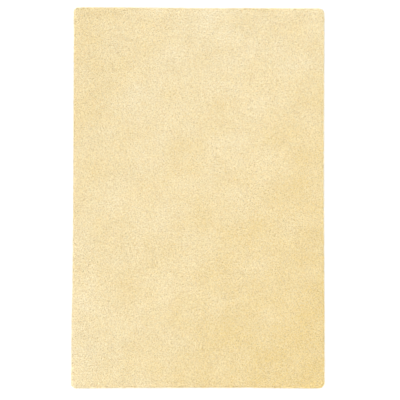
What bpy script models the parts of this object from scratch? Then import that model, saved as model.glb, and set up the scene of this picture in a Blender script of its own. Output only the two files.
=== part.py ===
"""A plain shag rug, nominally 120 x 180 cm: one tufted cloth with a dense cut pile, lying flat.

Metres, +Z up. The origin is the middle of the underside. +X runs across the rug to its right long
edge and +Y along it to its head end. The solid reaches as far as the pile does: its underside is
flat on the floor, its edges bulge out over the backing and round over into the top, and its top
rises and falls a little, as trodden pile does.
"""

import math

import bmesh
import bpy

# The rug over its pile, at the furthest places.
WIDTH = 1.206
LENGTH = 1.814
THICKNESS = 0.033

# The edge in section, from the floor up.
BACKING_THICKNESS = 0.003
BACKING_INSET = 0.006  # the pile leans out this far past the backing's cut edge
BULGE_HEIGHT = 0.012  # where the leaning pile reaches furthest out
CROWN_WIDTH = 0.026  # the side rounds over into the top across this width
CROWN_STEPS = 4

# How far each long edge draws in from its furthest place. along: 0 at the foot end, 1 at the head.
LONG_EDGES = (
    {"along": 0.00, "left": 0.0000, "right": 0.0003},
    {"along": 0.05, "left": 0.0000, "right": 0.0003},
    {"along": 0.18, "left": 0.0024, "right": 0.0000},
    {"along": 0.28, "left": 0.0066, "right": 0.0018},
    {"along": 0.50, "left": 0.0098, "right": 0.0036},
    {"along": 0.70, "left": 0.0113, "right": 0.0030},
    {"along": 0.94, "left": 0.0135, "right": 0.0012},
    {"along": 1.00, "left": 0.0120, "right": 0.0004},
)

# The same for the two ends. across: 0 at the left edge, 1 at the right.
END_EDGES = (
    {"across": 0.00, "foot": 0.0000, "head": 0.0000},
    {"across": 0.04, "foot": 0.0000, "head": 0.0000},
    {"across": 0.20, "foot": 0.0018, "head": 0.0000},
    {"across": 0.45, "foot": 0.0026, "head": 0.0030},
    {"across": 0.70, "foot": 0.0030, "head": 0.0034},
    {"across": 0.96, "foot": 0.0003, "head": 0.0048},
    {"across": 1.00, "foot": 0.0003, "head": 0.0050},
)

# The four corners, in the order in which the outline runs round them.
CORNERS = (
    {"name": "foot right", "across": 1, "along": 0, "radius": 0.025},
    {"name": "head right", "across": 1, "along": 1, "radius": 0.026},
    {"name": "head left", "across": 0, "along": 1, "radius": 0.022},
    {"name": "foot left", "across": 0, "along": 0, "radius": 0.018},
)
CORNER_STEPS = 4

# The top's slow rise and fall, as waves that add up.
SWELLS = (
    {"height": 0.0006, "across_waves": 1.3, "along_waves": 0.8, "start": 0.4},
    {"height": 0.0004, "across_waves": -2.1, "along_waves": 2.6, "start": 2.0},
    {"height": 0.0003, "across_waves": 3.2, "along_waves": 4.1, "start": 4.4},
)

# Faces across and along the rug.
FACES_ACROSS = 12
FACES_ALONG = 18

PILE_COLOUR = (0.896, 0.738, 0.429, 1.0)
PILE_ROUGHNESS = 0.95


def read_table(rows, key, column, share):
    """The value of a column at share, on the straight line between the two rows around it."""
    for low, high in zip(rows, rows[1:]):
        if share <= high[key]:
            part = (share - low[key]) / (high[key] - low[key])
            return low[column] + part * (high[column] - low[column])
    return rows[-1][column]


def plan_point(across, along, inset):
    """(x, y) at these shares of the rug's width and length, with its outline drawn in by inset."""
    left = -WIDTH / 2 + read_table(LONG_EDGES, "along", "left", along) + inset
    right = WIDTH / 2 - read_table(LONG_EDGES, "along", "right", along) - inset
    foot = -LENGTH / 2 + read_table(END_EDGES, "across", "foot", across) + inset
    head = LENGTH / 2 - read_table(END_EDGES, "across", "head", across) - inset
    return left + across * (right - left), foot + along * (head - foot)


def swell(x, y):
    """How far the pile's top is above or below its usual height at a place."""
    return sum(
        wave["height"]
        * math.sin(
            2 * math.pi * (wave["across_waves"] * x / WIDTH + wave["along_waves"] * y / LENGTH)
            + wave["start"]
        )
        for wave in SWELLS
    )


def lifted(x, y, height):
    """The point at a height over (x, y). The swell fades to nothing at the floor."""
    return x, y, height + swell(x, y) * (height / THICKNESS) ** 2


def ring(inset, height):
    """The closed outline at an inset and a height, anticlockwise from the foot left corner."""
    points = []
    for place, corner in enumerate(CORNERS):
        before = CORNERS[place - 1]
        runs_across = before["along"] == corner["along"]
        faces, length = (FACES_ACROSS, WIDTH) if runs_across else (FACES_ALONG, LENGTH)
        start = max(before["radius"] - inset, 0) / length
        end = 1 - max(corner["radius"] - inset, 0) / length
        for step in range(faces + 1):
            share = start + (end - start) * step / faces
            across = before["across"] + share * (corner["across"] - before["across"])
            along = before["along"] + share * (corner["along"] - before["along"])
            points.append(plan_point(across, along, inset))
        points += corner_arc(corner, place, inset)
    return [lifted(x, y, height) for x, y in points]


def corner_arc(corner, place, inset):
    """The points between the two ends of a corner's quarter circle, which inset makes smaller."""
    radius = max(corner["radius"] - inset, 0)
    x, y = plan_point(corner["across"], corner["along"], inset)
    centre_x = x + radius * (1 - 2 * corner["across"])
    centre_y = y + radius * (1 - 2 * corner["along"])
    turns = [math.pi / 2 * (place - 1 + step / CORNER_STEPS) for step in range(1, CORNER_STEPS)]
    return [(centre_x + radius * math.cos(a), centre_y + radius * math.sin(a)) for a in turns]


def edge_section():
    """(inset, height) down the rug's edge, from the backing's underside to the rim of the top."""
    section = [(BACKING_INSET, 0.0), (BACKING_INSET, BACKING_THICKNESS)]
    for step in range(CROWN_STEPS + 1):
        turn = math.pi / 2 * step / CROWN_STEPS
        inset = CROWN_WIDTH * (1 - math.cos(turn))
        section.append((inset, BULGE_HEIGHT + (THICKNESS - BULGE_HEIGHT) * math.sin(turn)))
    return section


def add_sides(mesh):
    """Joins the outlines of the edge section by bands of faces, and closes the lowest one flat."""
    loops = [[mesh.verts.new(p) for p in ring(*level)] for level in edge_section()]
    for low, high in zip(loops, loops[1:]):
        for here in range(len(low)):
            after = (here + 1) % len(low)
            mesh.faces.new((low[here], low[after], high[after], high[here]))
    mesh.faces.new(list(reversed(loops[0])))


def add_top(mesh):
    """Covers the last outline, whose corners are sharp, with a grid of faces."""
    grid = []
    for j in range(FACES_ALONG + 1):
        row = [plan_point(i / FACES_ACROSS, j / FACES_ALONG, CROWN_WIDTH) for i in range(FACES_ACROSS + 1)]
        grid.append([mesh.verts.new(lifted(x, y, THICKNESS)) for x, y in row])
    for low, high in zip(grid, grid[1:]):
        for i in range(FACES_ACROSS):
            mesh.faces.new((low[i], low[i + 1], high[i + 1], high[i]))


def pile_material():
    """The pile's pale straw yellow, quite matt."""
    material = bpy.data.materials.new("straw_pile")
    material.use_nodes = True
    shader = material.node_tree.nodes["Principled BSDF"]
    shader.inputs["Base Color"].default_value = PILE_COLOUR
    shader.inputs["Roughness"].default_value = PILE_ROUGHNESS
    return material


def add_rug():
    """The rug as one closed solid."""
    built = bmesh.new()
    add_sides(built)
    add_top(built)
    bmesh.ops.remove_doubles(built, verts=built.verts, dist=1e-6)
    bmesh.ops.recalc_face_normals(built, faces=built.faces)
    mesh = bpy.data.meshes.new("shag_rug")
    built.to_mesh(mesh)
    built.free()
    mesh.shade_smooth()
    mesh.materials.append(pile_material())
    rug = bpy.data.objects.new("shag_rug", mesh)
    bpy.context.scene.collection.objects.link(rug)


for old in list(bpy.data.objects):
    bpy.data.objects.remove(old)
add_rug()
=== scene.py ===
"""A plain straw-yellow shag rug of 120 x 180 cm, lying flat on a pale floor and seen from straight above.

Metres, +Z up. The origin is the middle of the rug's underside, +X runs across it to its right long edge and
+Y along it to its head end, which is at the top of the picture.
"""

import math

import bpy
import numpy as np
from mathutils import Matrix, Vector


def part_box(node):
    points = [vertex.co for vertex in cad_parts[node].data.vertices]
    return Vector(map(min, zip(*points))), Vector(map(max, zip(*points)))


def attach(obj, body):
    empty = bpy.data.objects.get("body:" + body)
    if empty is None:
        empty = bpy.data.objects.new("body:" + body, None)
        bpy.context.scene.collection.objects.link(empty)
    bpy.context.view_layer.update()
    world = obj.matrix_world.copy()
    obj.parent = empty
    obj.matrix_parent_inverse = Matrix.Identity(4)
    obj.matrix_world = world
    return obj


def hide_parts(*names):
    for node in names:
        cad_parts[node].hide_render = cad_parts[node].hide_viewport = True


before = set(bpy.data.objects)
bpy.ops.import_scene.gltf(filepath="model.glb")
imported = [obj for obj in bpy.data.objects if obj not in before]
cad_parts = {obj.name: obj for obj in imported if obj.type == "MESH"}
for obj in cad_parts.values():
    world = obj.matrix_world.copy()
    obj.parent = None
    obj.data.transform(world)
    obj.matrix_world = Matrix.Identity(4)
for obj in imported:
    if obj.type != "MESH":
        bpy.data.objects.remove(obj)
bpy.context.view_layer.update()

# ---- The camera ------------------------------------------------------------------------------------------
# It hangs straight over the rug. The picture is 400 pixels across and each pixel shows 4.77 mm of the rug,
# whose middle lies a little left of and above the picture's.

PICTURE_PIXELS = 400
PIXEL_SIZE = 0.00477
RUG_MIDDLE_PIXEL = (197.78, 197.86)
OUTLINE_HEIGHT = 0.014  # the pile reaches furthest out here, and the outline is measured there
LENS_MM = 88.0
SENSOR_MM = 36.0
CLIP_END = 20.0

lens = bpy.data.cameras.new("overhead_camera")
lens.lens = LENS_MM
lens.sensor_width = SENSOR_MM
lens.clip_end = CLIP_END
camera = bpy.data.objects.new("overhead_camera", lens)
camera.location = (
    (PICTURE_PIXELS / 2 - RUG_MIDDLE_PIXEL[0]) * PIXEL_SIZE,
    -(PICTURE_PIXELS / 2 - RUG_MIDDLE_PIXEL[1]) * PIXEL_SIZE,
    OUTLINE_HEIGHT + PICTURE_PIXELS * PIXEL_SIZE * LENS_MM / SENSOR_MM,
)
bpy.context.scene.collection.objects.link(camera)
bpy.context.scene.camera = camera

# ---- The studio ------------------------------------------------------------------------------------------
# A pale floor, lit so strongly that it shows nothing but the thin shadow along the rug, an even white sky,
# and two wide soft lamps: a strong one almost overhead and a weak one from the left.

SKY_COLOUR = (1.0, 1.0, 1.0)
SKY_STRENGTH = 1.43
FLOOR_SIZE = 40.0
FLOOR_COLOUR = (0.545, 0.545, 0.545)
FLOOR_ROUGHNESS = 0.9
LAMPS = (
    {"name": "top_lamp", "from": (-0.06, 0.12, 1.0), "spread": 50.0, "strength": 2.66},
    {"name": "side_lamp", "from": (-0.9, -0.3, 1.0), "spread": 50.0, "strength": 0.35},
)

bpy.context.scene.view_settings.view_transform = "Standard"
sky = bpy.data.worlds.new("sky")
sky.use_nodes = True
sky_shader = sky.node_tree.nodes["Background"]
sky_shader.inputs["Color"].default_value = (*SKY_COLOUR, 1.0)
sky_shader.inputs["Strength"].default_value = SKY_STRENGTH
bpy.context.scene.world = sky

floor_mesh = bpy.data.meshes.new("floor")
reach = FLOOR_SIZE / 2
floor_mesh.from_pydata(
    [(-reach, -reach, 0), (reach, -reach, 0), (reach, reach, 0), (-reach, reach, 0)], [], [(0, 1, 2, 3)]
)
floor_paint = bpy.data.materials.new("floor_paint")
floor_paint.use_nodes = True
floor_shader = floor_paint.node_tree.nodes["Principled BSDF"]
floor_shader.inputs["Base Color"].default_value = (*FLOOR_COLOUR, 1.0)
floor_shader.inputs["Roughness"].default_value = FLOOR_ROUGHNESS
floor_mesh.materials.append(floor_paint)
floor = bpy.data.objects.new("floor", floor_mesh)
bpy.context.scene.collection.objects.link(floor)

for row in LAMPS:
    light = bpy.data.lights.new(row["name"], "SUN")
    light.angle = math.radians(row["spread"])
    light.energy = row["strength"]
    lamp = bpy.data.objects.new(row["name"], light)
    lamp.rotation_euler = Vector(row["from"]).to_track_quat("Z", "Y").to_euler()
    bpy.context.scene.collection.objects.link(lamp)

# ---- The backing -----------------------------------------------------------------------------------------
# A plain weave of coarse undyed yarn, 3 mm thick with the latex that locks the tufts into it. It is cut to
# about 120 x 180 cm and lies flat on the floor, and the pile leans out past its edge.

low_corner, high_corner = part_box("shag_rug")
WIDTH = high_corner.x - low_corner.x
LENGTH = high_corner.y - low_corner.y
BACKING_THICKNESS = 0.003
BACKING_INSET = 0.006  # the pile leans out this far past its cut edge
BACKING_ROUND = 0.001  # the radius of its upper and lower edge
BACKING_ROUND_POINTS = 4  # on the quarter circle of each edge
BACKING_SIDE_POINTS = 40  # to a side of its outline
BACKING_WEAVE = 0.0032  # from one yarn of the weave to the next
BACKING_RELIEF = 0.0008
BACKING_SLUBS = 420.0  # uneven places in the yarn, to the metre
BACKING_SLUB_SHARE = 0.3  # how much of the shade is theirs, and not the weave's
BACKING_LIGHT = (0.66, 0.58, 0.43, 1.0)
BACKING_DARK = (0.36, 0.30, 0.20, 1.0)

# How far each long edge of the pile draws in from its furthest place, from the foot (0) to the head (1).
LONG_ALONG, LONG_LEFT, LONG_RIGHT = np.array(
    (
        # along, left, right
        (0.00, 0.0000, 0.0003),
        (0.05, 0.0000, 0.0003),
        (0.18, 0.0024, 0.0000),
        (0.28, 0.0066, 0.0018),
        (0.50, 0.0098, 0.0036),
        (0.70, 0.0113, 0.0030),
        (0.94, 0.0135, 0.0012),
        (1.00, 0.0120, 0.0004),
    )
).T

# The same for the two ends, from the left edge (0) to the right (1).
END_ACROSS, END_FOOT, END_HEAD = np.array(
    (
        # across, foot, head
        (0.00, 0.0000, 0.0000),
        (0.04, 0.0000, 0.0000),
        (0.20, 0.0018, 0.0000),
        (0.45, 0.0026, 0.0030),
        (0.70, 0.0030, 0.0034),
        (0.96, 0.0003, 0.0048),
        (1.00, 0.0003, 0.0050),
    )
).T

# The radius of each corner of the pile. side -1 is the left, end -1 the foot.
CORNERS = (
    {"side": -1, "end": -1, "radius": 0.018},
    {"side": 1, "end": -1, "radius": 0.025},
    {"side": -1, "end": 1, "radius": 0.022},
    {"side": 1, "end": 1, "radius": 0.026},
)


def edges_at(across, along):
    """The left and right edge of the pile at a share of its length, and the foot and head edge at a share
    of its width, on straight lines between the rows of the tables."""
    return (
        -WIDTH / 2 + np.interp(along, LONG_ALONG, LONG_LEFT),
        WIDTH / 2 - np.interp(along, LONG_ALONG, LONG_RIGHT),
        -LENGTH / 2 + np.interp(across, END_ACROSS, END_FOOT),
        LENGTH / 2 - np.interp(across, END_ACROSS, END_HEAD),
    )


def past_middle(corner, x, y, edges):
    """How far the points are past the middle of a corner's arc, towards the side and towards the end, or 0
    where they aren't past it both ways. The middle is the corner's radius in from both edges."""
    left, right, foot, head = edges
    past_x = corner["side"] * (x - (right if corner["side"] > 0 else left)) + corner["radius"]
    past_y = corner["end"] * (y - (head if corner["end"] > 0 else foot)) + corner["radius"]
    both = (past_x > 0) & (past_y > 0)
    return past_x * both, past_y * both


def round_off(x, y, edges, inset):
    """The points, with those past a corner's arc pulled onto it. Its radius is the corner's, less inset."""
    for corner in CORNERS:
        past_x, past_y = past_middle(corner, x, y, edges)
        past = np.maximum(np.hypot(past_x, past_y), 1e-9)
        excess = np.maximum(1 - np.maximum(corner["radius"] - inset, 0) / past, 0)
        x, y = x - corner["side"] * past_x * excess, y - corner["end"] * past_y * excess
    return x, y


def plan(across, along, inset):
    """(x, y) at shares of the pile's width and length, its outline first drawn in by inset. Square rings of
    points round a corner come out as arcs, because each is as far inside the arc as inside the edges."""
    edges = edges_at(across, along)
    left, right, foot, head = edges
    x = left + inset + across * (right - left - 2 * inset)
    y = foot + inset + along * (head - foot - 2 * inset)
    return round_off(x, y, edges, np.minimum.reduce([x - left, right - x, y - foot, head - y]))


def outline(inset, steps):
    """The closed outline at an inset, anticlockwise, with steps points to a side. A cosine bunches them
    towards the corners, so that these come out round."""
    share = (1 - np.cos(np.linspace(0, np.pi, steps, endpoint=False))) / 2
    ones, zeros = np.ones(steps), np.zeros(steps)
    across = np.concatenate([share, ones, 1 - share, zeros])
    along = np.concatenate([zeros, share, ones, 1 - share])
    return plan(across, along, inset)


class Amount:
    """A socket that gives a number. An expression on it adds the Math nodes that work it out."""

    def __init__(self, finish, socket):
        self.finish, self.socket = finish, socket

    def maths(self, operation, *amounts):
        """What a Math node makes of these amounts by its operation."""
        return self.finish.node("ShaderNodeMath", {"operation": operation}, *amounts)

    def __add__(self, other):
        return self.maths("ADD", self, other)

    def __sub__(self, other):
        return self.maths("SUBTRACT", self, other)

    def __rsub__(self, other):
        return self.maths("SUBTRACT", other, self)

    def __mul__(self, other):
        return self.maths("MULTIPLY", self, other)

    __radd__, __rmul__ = __add__, __mul__


class Finish:
    """A material in the making: node() adds to its tree, and constants go straight on its shader."""

    def __init__(self, name, constants):
        self.material = bpy.data.materials.new(name)
        self.material.use_nodes = True
        self.tree = self.material.node_tree
        self.shader = self.tree.nodes["Principled BSDF"]
        for socket, value in constants.items():
            self.shader.inputs[socket].default_value = value

    def node(self, kind, settings, *values, output=0, **named):
        """Adds a node of this kind and gives one of its outputs. Its settings are made first, a ramp's
        stops among them, and then its sockets take or are linked to the values, by place or by name."""
        added = self.tree.nodes.new(kind)
        for setting, value in settings.items():
            if setting == "stops":
                self.set_stops(added.color_ramp.elements, value)
            else:
                setattr(added, setting, value)
        sockets = list(zip(added.inputs, values))
        for name, value in named.items():
            sockets.append((next(s for s in added.inputs if s.name == name and s.enabled), value))
        for socket, value in sockets:
            if isinstance(value, Amount):
                self.tree.links.new(value.socket, socket)
            else:
                socket.default_value = value
        return Amount(self, added.outputs[output])

    @staticmethod
    def set_stops(elements, stops):
        """Gives a ramp as many elements as there are stops, and each one its stop's place and colour."""
        while len(elements) < len(stops):
            elements.new(1.0)
        for element, (place, colour) in zip(elements, stops):
            element.position, element.color = place, colour

    def feed(self, socket, amount):
        """Links an amount to one of the shader's sockets."""
        self.tree.links.new(amount.socket, self.shader.inputs[socket])


def mesh_object(name, points, faces, finish):
    """A smooth-shaded object at the origin."""
    mesh = bpy.data.meshes.new(name)
    mesh.from_pydata(points, [], faces)
    mesh.shade_smooth()
    mesh.materials.append(finish.material)
    made = bpy.data.objects.new(name, mesh)
    bpy.context.scene.collection.objects.link(made)
    return made


def woven_backing():
    """Undyed yarn in plain weave: two sets of round ridges, each the absolute value of a sine, and a
    checker of sines that says which set is on top."""
    cloth = Finish("woven_backing", {"Roughness": 0.95, "Specular IOR Level": 0.2})
    place = cloth.node("ShaderNodeTexCoord", {}, output="Object")
    x = cloth.node("ShaderNodeSeparateXYZ", {}, place, output="X")
    y = cloth.node("ShaderNodeSeparateXYZ", {}, place, output="Y")
    turns = math.pi / BACKING_WEAVE
    wave_x = x.maths("SINE", x * turns)
    wave_y = y.maths("SINE", y * turns)
    over = x.maths("GREATER_THAN", wave_x * wave_y, 0.0)
    height = x.maths("ABSOLUTE", wave_x) * over + x.maths("ABSOLUTE", wave_y) * (1.0 - over)
    slubs = cloth.node("ShaderNodeTexNoise", {}, Vector=place, Scale=BACKING_SLUBS, Detail=2.0)
    shade = height * (1 - BACKING_SLUB_SHARE) + slubs * BACKING_SLUB_SHARE
    ends = {"A": BACKING_DARK, "B": BACKING_LIGHT}
    colour = cloth.node("ShaderNodeMix", {"data_type": "RGBA"}, output=2, Factor=shade, **ends)
    cloth.feed("Base Color", colour)
    bump = {"Strength": 0.6, "Distance": BACKING_RELIEF, "Height": height}
    cloth.feed("Normal", cloth.node("ShaderNodeBump", {}, **bump))
    return cloth


def rug_backing():
    """A flat slab: its outline carried round a section whose lower and upper edge are quarter circles, and
    closed below and above by one flat face."""
    turns = np.linspace(0, np.pi / 2, BACKING_ROUND_POINTS)
    insets = BACKING_INSET + BACKING_ROUND * (1 - np.concatenate([np.sin(turns), np.cos(turns)]))
    lower = BACKING_ROUND * (1 - np.cos(turns))
    upper = BACKING_THICKNESS - BACKING_ROUND * (1 - np.sin(turns))
    heights = np.concatenate([lower, upper])
    around, last = 4 * BACKING_SIDE_POINTS, len(heights) - 1
    rings = [
        np.column_stack([*outline(inset, BACKING_SIDE_POINTS), np.full(around, height)])
        for inset, height in zip(insets, heights)
    ]
    here = np.arange(around)
    after = (here + 1) % around
    band = np.column_stack([here, after, after + around, here + around])
    bands = np.concatenate([band + level * around for level in range(last)])
    faces = [*bands.tolist(), here[::-1].tolist(), (here + last * around).tolist()]
    backing = mesh_object("rug_backing", np.concatenate(rings), faces, woven_backing())
    for cap in (-1, -2):
        backing.data.polygons[cap].use_smooth = False
    return backing


backing = rug_backing()
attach(backing, "root")

# ---- The dense lower pile --------------------------------------------------------------------------------
# Down by the backing the tufts are packed so close that they make one mass. It only shows as the bottom of
# the gaps between the locks: its lumpy top, with painted shade darkening its hollows, and its plainer side
# at the rug's edge.

BED_INSET = 0.0045
BED_HEIGHT = 0.0235
BED_SHOULDER = 0.005  # its edge rounds over across this width
BED_LUMP = 0.0007  # how far its top is off its height at the most, point by point
BED_RIM = (0.0, 0.0015, 0.0035, 0.006, 0.010)  # the first lines of its grid, in from its rim
BED_EVEN = 0.015  # the first of the even lines, in from the rim
BED_LINES = (60, 90)  # the even lines across and along
BED_CELL = 0.0034  # from one lock to the next
BED_LOCK = (0.0032, 0.0016)  # half the length and half the width of a lock
BED_RELIEF = 0.0012
BED_TOPS = (0.6, 1.0)  # the height of the lowest and of the highest lock, as shares of the relief
BED_FIBRE = 0.0008  # from one fibre to the next
BED_FIBRE_RISE = 0.1  # how high a fibre is, as such a share
BED_SEED = 11
BED_SHIFTS = ((0.0, 0.0, 0.0), (0.3713, 0.1779, 0.0))  # how far the two sets of locks are moved
# The top's colour by height: darker the lower it lies, a painted shade in the hollows between the locks.
BED_PAINTED_SHADE = (
    # height, as such a share, and colour
    (0.0, (0.33, 0.24, 0.125, 1.0)),
    (0.35, (0.60, 0.47, 0.26, 1.0)),
    (1.0, (0.88, 0.77, 0.50, 1.0)),
)
BED_SIDE = (0.80, 0.655, 0.37, 1.0)
BED_SIDE_TOP = 0.020  # the side has its own colour from this height down
BED_SIDE_FADE = 0.004  # and the top's colours turn into it across this height

# The top's slow rise and fall, as waves that add up.
SWELLS = (
    {"height": 0.0006, "across_waves": 1.3, "along_waves": 0.8, "start": 0.4},
    {"height": 0.0004, "across_waves": -2.1, "along_waves": 2.6, "start": 2.0},
    {"height": 0.0003, "across_waves": 3.2, "along_waves": 4.1, "start": 4.4},
)


def swell(x, y):
    """How far the pile's top is above or below its usual height at each place, as the sum of the waves."""
    total = 0
    for wave in SWELLS:
        turn = wave["across_waves"] * x / WIDTH + wave["along_waves"] * y / LENGTH
        total = total + wave["height"] * np.sin(2 * np.pi * turn + wave["start"])
    return total


def packed_pile():
    """Locks of fibre pressed flat against each other: every cell of two sets of cells holds one, an oval
    that is turned its own way and has its own height, and the higher of the two sets shows. Fine fibres run
    along each. The lower a place lies, the darker it is painted: painted shade in the hollows. Below the
    top's edge all this fades into the colour of the side."""
    pile = Finish("packed_pile", {"Roughness": 1.0, "Specular IOR Level": 0.1})
    place = pile.node("ShaderNodeTexCoord", {}, output="Object")
    heights, (low, high) = [], BED_TOPS
    for shift in BED_SHIFTS:
        at = pile.node("ShaderNodeVectorMath", {"operation": "ADD"}, place, shift)
        cell = {"Vector": at, "Scale": 1 / BED_CELL, "Randomness": 1.0}
        middle = pile.node("ShaderNodeTexVoronoi", {"voronoi_dimensions": "2D"}, output="Position", **cell)
        chance = pile.node("ShaderNodeTexVoronoi", {"voronoi_dimensions": "2D"}, output="Color", **cell)
        apart = pile.node("ShaderNodeVectorMath", {"operation": "SUBTRACT"}, at, middle)
        x = pile.node("ShaderNodeSeparateXYZ", {}, apart, output="X")
        y = pile.node("ShaderNodeSeparateXYZ", {}, apart, output="Y")
        turn = pile.node("ShaderNodeSeparateColor", {}, chance) * (2 * math.pi)
        rise = pile.node("ShaderNodeSeparateColor", {}, chance, output="Green")
        cosine, sine = x.maths("COSINE", turn), x.maths("SINE", turn)
        along, across = x * cosine + y * sine, y * cosine - x * sine
        far = (along * along) * (1 / BED_LOCK[0] ** 2) + (across * across) * (1 / BED_LOCK[1] ** 2)
        fibres = x.maths("SINE", across * (2 * math.pi / BED_FIBRE))
        heights.append(low + rise * (high - low) - far + fibres * BED_FIBRE_RISE)
    height = x.maths("MAXIMUM", *heights)
    # Painted shade: the colour darkens with the height, down into the hollows.
    painted_shade_on_top = pile.node("ShaderNodeValToRGB", {"stops": BED_PAINTED_SHADE}, height)
    z = pile.node("ShaderNodeSeparateXYZ", {}, place, output="Z")
    side = (BED_SIDE_TOP - z) * (1 / BED_SIDE_FADE)
    mixed = pile.node("ShaderNodeMix", {"data_type": "RGBA"}, output=2, Factor=side, A=painted_shade_on_top, B=BED_SIDE)
    pile.feed("Base Color", mixed)
    bump = {"Strength": 1.0, "Distance": BED_RELIEF, "Height": height}
    pile.feed("Normal", pile.node("ShaderNodeBump", {}, **bump))
    return pile


def pile_bed(random):
    """A grid over the rug whose height rises from the backing over the shoulder as a quarter circle does,
    with random lumps on top, closed below by one flat face. A point's depth is how far in its ring is."""
    shares = []
    for lines, size in zip(BED_LINES, (WIDTH, LENGTH)):
        rim, even = np.array(BED_RIM) / size, np.linspace(BED_EVEN / size, 1 - BED_EVEN / size, lines)
        shares.append(np.concatenate([rim, even, 1 - rim[::-1]]))
    across, along = np.meshgrid(*shares)
    x, y = plan(across, along, BED_INSET)
    left, right, foot, head = edges_at(across, along)
    wide, long = right - left - 2 * BED_INSET, head - foot - 2 * BED_INSET
    depth = np.minimum.reduce([across * wide, (1 - across) * wide, along * long, (1 - along) * long])
    rise = np.sqrt(np.maximum(1 - np.maximum(1 - depth / BED_SHOULDER, 0) ** 2, 0))
    top = BED_HEIGHT + swell(x, y) + random.uniform(-1, 1, x.shape) * BED_LUMP
    points = np.stack([x, y, BACKING_THICKNESS + (top - BACKING_THICKNESS) * rise], -1).reshape(-1, 3)
    number = np.arange(x.size).reshape(x.shape)
    quads = np.stack([number[:-1, :-1], number[:-1, 1:], number[1:, 1:], number[1:, :-1]], -1)
    rim = np.concatenate([number[:-1, 0], number[-1, :-1], number[:0:-1, -1], number[0, :0:-1]])
    faces = [*quads.reshape(-1, 4).tolist(), rim.tolist()]
    bed = mesh_object("pile_bed", points, faces, packed_pile())
    bed.data.polygons[-1].use_smooth = False
    return bed


bed = pile_bed(np.random.default_rng(BED_SEED))
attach(bed, "root")

# ---- The locks of the pile -------------------------------------------------------------------------------
# The cut pile: tufts of soft yarn whose ends have untwisted into long and short locks of fibre. They are
# tufted through the backing, stand up out of the dense lower pile, splay, flop over and overlap.

# A lock's runs from root to tip, how many degrees each leans over past the one before and how far that
# varies, and the lock's width between one run and the next. balance says how far the lock is set back, from
# 0 with its root at its place to 1 with its middle there. stray is how far past the rug's outline its tip
# may reach.
LONG = {
    "runs": (0.0120, 0.0065, 0.0065),
    "leans": (26, 34, 30),
    "spreads": (10, 12, 14),
    "widths": (0.0035, 0.0030),
    "balance": 0.75,
    "stray": -0.0003,
}
SHORT = {
    "runs": (0.0110, 0.0060),
    "leans": (28, 28),
    "spreads": (13, 16),
    "widths": (0.0039,),
    "balance": 0.75,
    "stray": -0.0003,
}
LONG_GAUGE, SHORT_GAUGE = 0.0086, 0.0049  # from one lock to the next, both ways
LONG_STRIPS, SHORT_STRIPS = 2, 3  # how many pieces they are cut into, so that none is too large
JITTER = 0.3  # how far a lock may be off its place, as a share of the gauge
PILE_INSET = 0.0045  # the grid of locks starts this far inside the outline
PILE_SLACK = 0.001  # and the jitter may take a lock this much nearer to it
LOCK_INSET = 0.0012  # the middle line of a lock, but not its tip, stays this far inside it
LOCK_FLOOR = 0.0006  # the lowest place of a lock's middle line
POINT_FLOOR = 0.0004  # and that of its surface
LOCK_FLATNESS = 0.75  # its thickness as a share of its width
RIDGE_SHARE = 0.6  # how much of the thickness is above the middle line
RUN_VARIES = 0.3  # how far a run may be off its length, as a share of that
SIZE_VARIES = 0.25  # the same for a lock's width and thickness
TURN_VARIES = 0.4  # how far, in radians, a lock turns from one run to the next
PILE_TOP = 0.0320
PILE_UNEVENNESS = 0.0014
PILE_SEED = 7

# What the rug's edge does to the locks near it.
RIM_REACH = 0.012  # how far in from the edge they feel it
RIM_PULL = 1.6  # how strongly they face outwards there, against 1 for their own way
RIM_LEAN = 20  # how many degrees further they lean there
RIM_DROP = 0.008  # and how much less far up they come, at the most

# The colours: from a lock's root, darkened as a painted shade down in the pile, to its tip, and what the
# palest and the deepest shade multiply them by.
LOCK_ROOT_PAINTED_SHADE = (0.86, 0.72, 0.43, 1.0)
LOCK_TIP = (0.985, 0.945, 0.785, 1.0)
LOCK_ENDS = (0.35, 0.85)  # how far up the root's colour ends and the tip's begins
PALE = (1.0, 1.0, 1.0, 1.0)
DEEP = (0.895, 0.79, 0.50, 1.0)
LOCK_FIBRES = 6  # the fibres seen round a lock
LOCK_TWIST = 0.4  # how far round the lock they wind from root to tip
FIBRE_SHADE = 0.03
FIBRE_RELIEF = 0.0005
SHADES = 16
BAND_MARGIN = 0.08  # of a shade's band in the map, at either side
TIP_MARGIN = 0.02  # of the map's height, at root and tip
SHADE_CHANCE = 1.5  # how many shades a lock is off its neighbours

# The slow drift of the shade, a painted fall-off of the light over the rug, as terms that add up: powers
# of the shares of the width and of the length that a place is off the middle, times a number of shades.
PAINTED_LIGHT_DRIFT = (
    # power across, power along, shades
    (0, 0, 6.7),
    (1, 0, 4.0),
    (0, 1, -6.0),
    (1, 1, -14.0),
    (2, 0, 4.0),
    (2, 1, 19.0),
)
DYE_BLOTCHES = (
    # from one blotch to the next, shades deep
    (0.47, 0.28),
    (0.24, 0.28),
    (0.12, 0.22),
)
BLOTCH_WAVES = 8  # for each size of blotch
BLOTCH_SEED = 5


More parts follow.
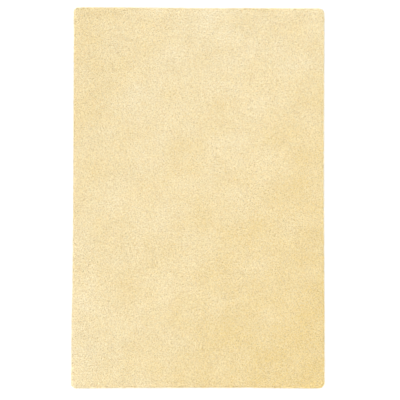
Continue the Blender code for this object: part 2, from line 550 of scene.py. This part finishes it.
def straw_pile():
    """Dyed fibre, read from its own map alone. Across the map are the shades, a band for each, and within
    a band the way round the lock. Up it is the way from root to tip, darker towards the root as painted
    shade. The fibres are a sine round the lock that winds with the way up."""
    pile = Finish(
        "straw_pile",
        {"Roughness": 0.85, "Specular IOR Level": 0.1, "Sheen Weight": 0.05, "Sheen Roughness": 0.5},
    )
    place = pile.node("ShaderNodeUVMap", {"uv_map": "OFBake"})
    u = pile.node("ShaderNodeSeparateXYZ", {}, place, output="X")
    along = pile.node("ShaderNodeSeparateXYZ", {}, place, output="Y")
    band = u.maths("FLOOR", u * SHADES)
    around = u * SHADES - band
    # The bands, palest to deepest, hold the dye's own uneven tone and a painted fall-off of the light.
    dye_and_painted_light_stops = ((0.0, PALE), (1.0, DEEP))
    tint = pile.node("ShaderNodeValToRGB", {"stops": dye_and_painted_light_stops}, (band + 0.5) * (1 / SHADES))
    fibres = u.maths("SINE", (around + along * LOCK_TWIST) * (2 * math.pi * LOCK_FIBRES))
    # Darker at the root than at the tip: painted shade down in the pile.
    stops = ((0.0, LOCK_ROOT_PAINTED_SHADE), (LOCK_ENDS[0], LOCK_ROOT_PAINTED_SHADE), (LOCK_ENDS[1], LOCK_TIP))
    colour = pile.node("ShaderNodeValToRGB", {"stops": stops}, along)
    bright = (1 - FIBRE_SHADE) + fibres * FIBRE_SHADE
    grey = pile.node("ShaderNodeCombineColor", {}, bright, bright, bright)
    for layer in (tint, grey):
        multiply = {"data_type": "RGBA", "blend_type": "MULTIPLY"}
        colour = pile.node("ShaderNodeMix", multiply, output=2, Factor=1.0, A=colour, B=layer)
    pile.feed("Base Color", colour)
    bump = {"Strength": 0.6, "Distance": FIBRE_RELIEF, "Height": fibres}
    pile.feed("Normal", pile.node("ShaderNodeBump", {}, **bump))
    return pile


def blotch_waves(random):
    """Waves of every size of blotch, each with its own direction and start: (depth, how many across, how
    many along, start)."""
    waves = []
    for size, depth in DYE_BLOTCHES:
        for heading, start in random.uniform(0, 2 * np.pi, (BLOTCH_WAVES, 2)):
            waves.append((depth, np.cos(heading) / size, np.sin(heading) / size, start))
    return waves


def dye_and_painted_light_band(x, y, random):
    """Which band of shades each lock has. The shade drifts as a painted fall-off of the light: it is palest
    in the middle of the head end and at the left of the foot, and deepest at the right of the foot. Waves
    and chance, the dye's own uneven tone, are added to that."""
    across, along = x / WIDTH, y / LENGTH
    # A painted fall-off of the light over the rug.
    drift = sum(shades * across**power * along**other for power, other, shades in PAINTED_LIGHT_DRIFT)
    for depth, across_waves, along_waves, start in BLOTCHES:
        drift = drift + depth * np.sin(2 * np.pi * (across_waves * x + along_waves * y) + start)
    return np.clip(np.round(drift + random.normal(0, SHADE_CHANCE, len(x))), 0, SHADES - 1)


def depth_inside(x, y):
    """How far inside the outline the points are, from the nearest edge and at a corner from its arc."""
    edges = edges_at(x / WIDTH + 0.5, y / LENGTH + 0.5)
    left, right, foot, head = edges
    depth = np.minimum.reduce([x - left, right - x, y - foot, head - y])
    for corner in CORNERS:
        past = np.hypot(*past_middle(corner, x, y, edges))
        depth = np.where(past > 0, np.minimum(depth, corner["radius"] - past), depth)
    return depth


def held_in(x, y, inset):
    """The points, moved to the nearest place at least inset inside the pile's outline."""
    edges = edges_at(x / WIDTH + 0.5, y / LENGTH + 0.5)
    left, right, foot, head = edges
    x = np.clip(x, left + inset, right - inset)
    y = np.clip(y, foot + inset, head - inset)
    return round_off(x, y, edges, inset)


def middle_lines(x, y, turn, top, droop, shape, random):
    """The joints of the locks' middle lines, from the roots to the tips: an array of points for each joint.

    A lock is placed at (x, y) and faces the compass turn. Its line has two or three straight runs. Each
    leans further over than the last, the first by droop more than its shape says, and turns a little. The
    whole is set back by its balance and shifted so that its highest joint comes up to top. The joints are
    then held inside the outline, and a few tips stray past it.
    """
    count = len(x)
    line, lean = [np.column_stack([x, y, np.zeros(count)])], np.radians(droop)
    for run, further, spread in zip(shape["runs"], shape["leans"], shape["spreads"]):
        lean = lean + np.radians(random.normal(further, spread, count))
        far = run * random.uniform(1 - RUN_VARIES, 1 + RUN_VARIES, count)
        step = np.column_stack([np.sin(lean) * np.cos(turn), np.sin(lean) * np.sin(turn), np.cos(lean)])
        line.append(line[-1] + far[:, None] * step)
        turn = turn + random.normal(0, TURN_VARIES, count)
    line = np.stack(line)
    line[..., :2] -= shape["balance"] * (line[1:, :, :2].mean(axis=0) - line[0, :, :2])
    line[..., 2] = np.maximum(line[..., 2] + top - line[..., 2].max(axis=0), LOCK_FLOOR)
    tip_inset = LOCK_INSET - (LOCK_INSET + shape["stray"]) * random.random(count) ** 3
    insets = [BACKING_INSET, *[LOCK_INSET] * len(shape["widths"]), tip_inset]
    for joint, inset in zip(line, insets):
        joint[:, 0], joint[:, 1] = held_in(joint[:, 0], joint[:, 1], inset)
    return line


def lock_points(line, shape, random):
    """The points of the locks along their middle lines: the root, a section for each joint between two
    runs, and the tip. A section is the left, ridge and right of a triangle square to the line, flat
    below."""
    points, size = [line[0]], random.uniform(1 - SIZE_VARIES, 1 + SIZE_VARIES, (line.shape[1], 1))
    for before, here, after, width in zip(line, line[1:], line[2:], shape["widths"]):
        ahead = (after - before) / np.linalg.norm(after - before, axis=1, keepdims=True)
        side = np.cross([0.0, 0.0, 1.0], ahead)
        side /= np.maximum(np.linalg.norm(side, axis=1, keepdims=True), 1e-6)
        half, thick = side * size * width / 2, np.cross(ahead, side) * size * width * LOCK_FLATNESS
        above, below = thick * RIDGE_SHARE, thick * (1 - RIDGE_SHARE)
        points += [here + half - below, here + above, here - half - below]
    points = np.stack([*points, line[-1]], 1)
    points[..., 2] = np.maximum(points[..., 2], POINT_FLOOR)
    return points


def lock_faces(runs):
    """The triangles of one lock of so many runs, three round its root, six along each run between two
    sections and three round its tip, and the places of their corners in a band of the map."""
    faces, places, tip = [], [], 3 * runs - 2
    heights = np.linspace(0, 1, runs + 1)
    for side in range(3):
        a, b, between = side / 3, (side + 1) / 3, (side + 0.5) / 3
        here, after = 1 + side, 1 + (side + 1) % 3
        faces.append((0, after, here))
        places.append([(between, TIP_MARGIN), (b, heights[1]), (a, heights[1])])
        for low, high in zip(heights[1:], heights[2:-1]):
            faces += [(here, after, after + 3), (here, after + 3, here + 3)]
            places += [[(a, low), (b, low), (b, high)], [(a, low), (b, high), (a, high)]]
            here, after = here + 3, after + 3
        faces.append((here, after, tip))
        places.append([(a, heights[-2]), (b, heights[-2]), (between, 1 - TIP_MARGIN)])
    return np.array(faces), np.array(places)


def locks(name, x, y, turn, top, droop, shape, random):
    """Locks of fibre as one mesh of separate closed forms: each swells from its root to its first section
    and thins to its tip. Each has its own shade, which is a band of the map."""
    points = lock_points(middle_lines(x, y, turn, top, droop, shape, random), shape, random)
    one_lock, one_map = lock_faces(len(shape["runs"]))
    count, each = points.shape[:2]
    faces = (np.arange(count)[:, None, None] * each + one_lock).reshape(-1, 3)
    uv = np.repeat(one_map[None], count, axis=0)
    within = BAND_MARGIN + (1 - 2 * BAND_MARGIN) * uv[..., 0]
    uv[..., 0] = (dye_and_painted_light_band(x, y, random)[:, None, None] + within) / SHADES
    made = mesh_object(name, points.reshape(-1, 3), faces.tolist(), straw)
    made.data.uv_layers.new(name="OFBake").data.foreach_set("uv", uv.ravel())
    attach(made, "root")
    return made


def standing_locks(name, shape, gauge, strips, random):
    """Locks on a grid over the pile in which every second row is set off by half a step and every place is
    jittered, cut into strips along the rug. Near the rug's edge they turn and lean outwards and come less
    far up."""
    columns, rows = round((WIDTH - 2 * PILE_INSET) / gauge), round((LENGTH - 2 * PILE_INSET) / gauge)
    across, along = np.meshgrid(np.arange(columns + 1.0), np.arange(rows + 1.0))
    across = (across + 0.5 * (np.arange(rows + 1) % 2)[:, None]) / (columns + 0.5)
    x, y = plan(across.ravel(), along.ravel() / rows, PILE_INSET)
    x, y = (place + random.uniform(-JITTER, JITTER, place.shape) * gauge for place in (x, y))
    x, y = held_in(x, y, PILE_INSET - PILE_SLACK)
    left, right, foot, head = edges_at(x / WIDTH + 0.5, y / LENGTH + 0.5)
    out_x = np.exp((x - right) / RIM_REACH) - np.exp((left - x) / RIM_REACH)
    out_y = np.exp((y - head) / RIM_REACH) - np.exp((foot - y) / RIM_REACH)
    turn = random.uniform(0, 2 * np.pi, len(x))
    turn = np.arctan2(np.sin(turn) + RIM_PULL * out_y, np.cos(turn) + RIM_PULL * out_x)
    near = np.clip(1 - depth_inside(x, y) / RIM_REACH, 0, 1)
    top = PILE_TOP + swell(x, y) - np.abs(random.normal(0, PILE_UNEVENNESS, len(x)))
    top = top - near * random.uniform(0, RIM_DROP, len(x))
    made = []
    for number, strip in enumerate(np.array_split(np.arange(len(x)), strips), 1):
        set_up = (values[strip] for values in (x, y, turn, top, RIM_LEAN * near))
        made.append(locks(f"{name}_{number}", *set_up, shape, random))
    return made


BLOTCHES = blotch_waves(np.random.default_rng(BLOTCH_SEED))
straw = straw_pile()
draw = np.random.default_rng(PILE_SEED)
strips = standing_locks("long_locks", LONG, LONG_GAUGE, LONG_STRIPS, draw)
strips += standing_locks("short_locks", SHORT, SHORT_GAUGE, SHORT_STRIPS, draw)
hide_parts("shag_rug")

# ---- The locks round the edge ----------------------------------------------------------------------------
# The outermost tufts of the same yarn. Nothing holds them up on their outer side, so they flop out over the
# cut edge of the backing and hang down to the floor, one over the other, and hide it.

EDGE = {**LONG, "widths": (0.0037, 0.0032), "balance": 0.0, "stray": 0.0045}
EDGE_STEP = 0.0041  # from one stack of locks to the next, round the outline
EDGE_JITTER = 0.002  # how far a lock may be off its stack, round the outline
EDGE_INSET = 0.0085  # how far inside the outline the roots are
EDGE_LAYERS = 4  # locks in a stack
EDGE_LOWEST = 0.005  # how far up the lowest one comes
EDGE_RISE = 0.0065  # from one lock of a stack to the next
EDGE_UNEVENNESS = 0.003
EDGE_TURN = 0.35  # how far, in radians, they are off facing straight out
EDGE_DROOP = 25.0  # how many degrees further they lean than the long locks
EDGE_POINTS = 400  # to a side, on the two outlines that they are placed by


def hanging_locks(random):
    """Stacks of locks, evenly spaced along the outline. A lock's root is on the outline drawn in by the
    inset, and but for a chance turn it faces the point of the outer one at the same share of its side."""
    outer, inner = np.array(outline(0.0, EDGE_POINTS)), np.array(outline(EDGE_INSET, EDGE_POINTS))
    steps = np.hypot(*(np.roll(outer, -1, axis=1) - outer))
    gone, around = np.cumsum(steps) - steps, steps.sum()
    stacks = round(around / EDGE_STEP)
    place = np.repeat(np.arange(stacks) / stacks, EDGE_LAYERS) * around
    place = place + random.uniform(-1, 1, len(place)) * EDGE_JITTER
    edge_x, edge_y, x, y = (np.interp(place, gone, values, period=around) for values in (*outer, *inner))
    turn = np.arctan2(edge_y - y, edge_x - x) + random.normal(0, EDGE_TURN, len(x))
    layer = np.tile(np.arange(EDGE_LAYERS), stacks)
    top = EDGE_LOWEST + EDGE_RISE * layer + random.uniform(-1, 1, len(x)) * EDGE_UNEVENNESS
    return locks("pile_edge", x, y, turn, top, EDGE_DROOP, EDGE, random)


edge = hanging_locks(draw)
